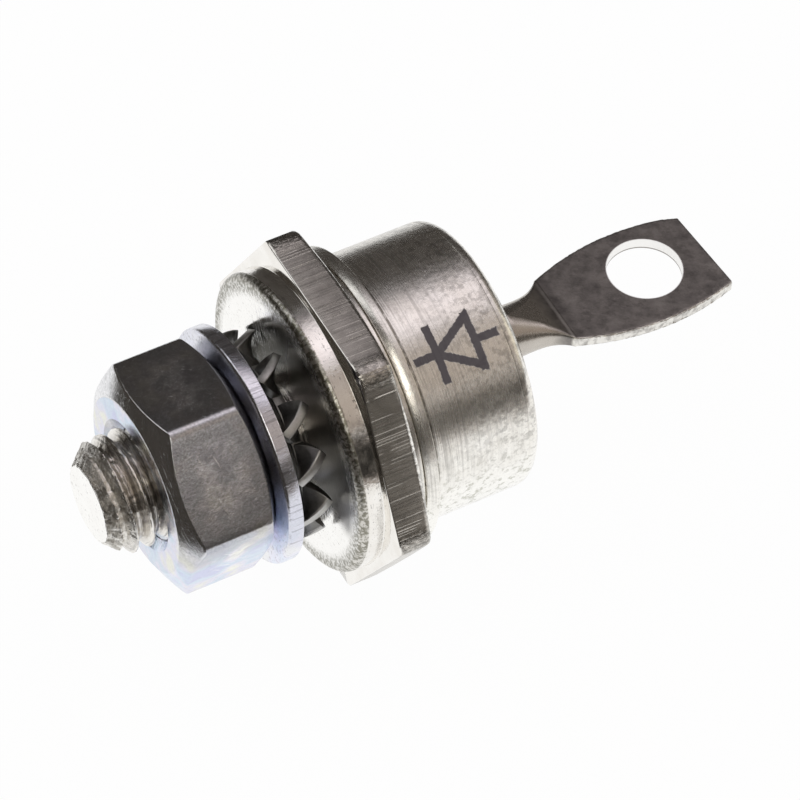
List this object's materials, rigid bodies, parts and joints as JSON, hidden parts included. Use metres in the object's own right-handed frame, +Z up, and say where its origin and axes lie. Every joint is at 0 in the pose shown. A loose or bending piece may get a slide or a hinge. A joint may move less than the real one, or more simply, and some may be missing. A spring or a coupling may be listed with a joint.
{
  "type": "stud diode",
  "caption": "Stud-mounted rectifier diode: threaded stud and hexagon base, welded metal can, glass-sealed pierced blade terminal, with nut, flat washer and toothed lock washer.",
  "frame": {"origin": "on the diode's axis, at the centre of the seating face of the base", "axes": "+X along the axis from the stud to the terminal, +Z up, square to the hexagon flat that the part lies on"},
  "size_m": [0.0362, 0.0196, 0.0172],
  "materials": {
    "nickel_base": "bright nickel plate on copper, machining marks",
    "nickel_can": "nickel plate on drawn steel, fine turning lines",
    "seal_glass": "dark green sealing glass",
    "dull_terminal": "dull, slightly mottled plate",
    "solder": "dull solder",
    "molybdenum": "lapped",
    "silicon": "polished silicon",
    "varnish": "red-brown insulating varnish",
    "copper": "bare copper",
    "zinc_nut": "bright zinc plate with a blue tinge",
    "zinc_washer": "bright zinc plate, sheared rim",
    "spring_steel": "dark plated spring steel"
  },
  "bodies": {
    "diode": {"stud_base": "nickel_base", "weld_ring": "nickel_can", "can": "nickel_can", "glass_seal": "seal_glass", "terminal": "dull_terminal", "base_solder": "solder", "lower_disc": "molybdenum", "lower_die_solder": "solder", "silicon_die": "silicon", "die_coating": "varnish", "upper_die_solder": "solder", "upper_disc": "molybdenum", "lead_solder": "solder", "inner_lead": "copper", "tooth_washer": "spring_steel"},
    "washer": {"flat_washer": "zinc_washer"},
    "nut": {"hex_nut": "zinc_nut"}
  },
  "joints": [
    {"name": "washer_slide", "type": "slide", "parent": "diode", "child": "washer", "axis": [-1, 0, 0], "range_m": [0, 0.00772]},
    {"name": "nut_turn", "type": "hinge", "parent": "washer", "child": "nut", "pos_m": [0, 0, 0], "axis": [-1, 0, 0], "range_deg": [0, 3060]}
  ],
  "couplings": [
    {"joint": "washer_slide", "follows": "nut_turn", "m_per_rad": 0.00014435}
  ]
}
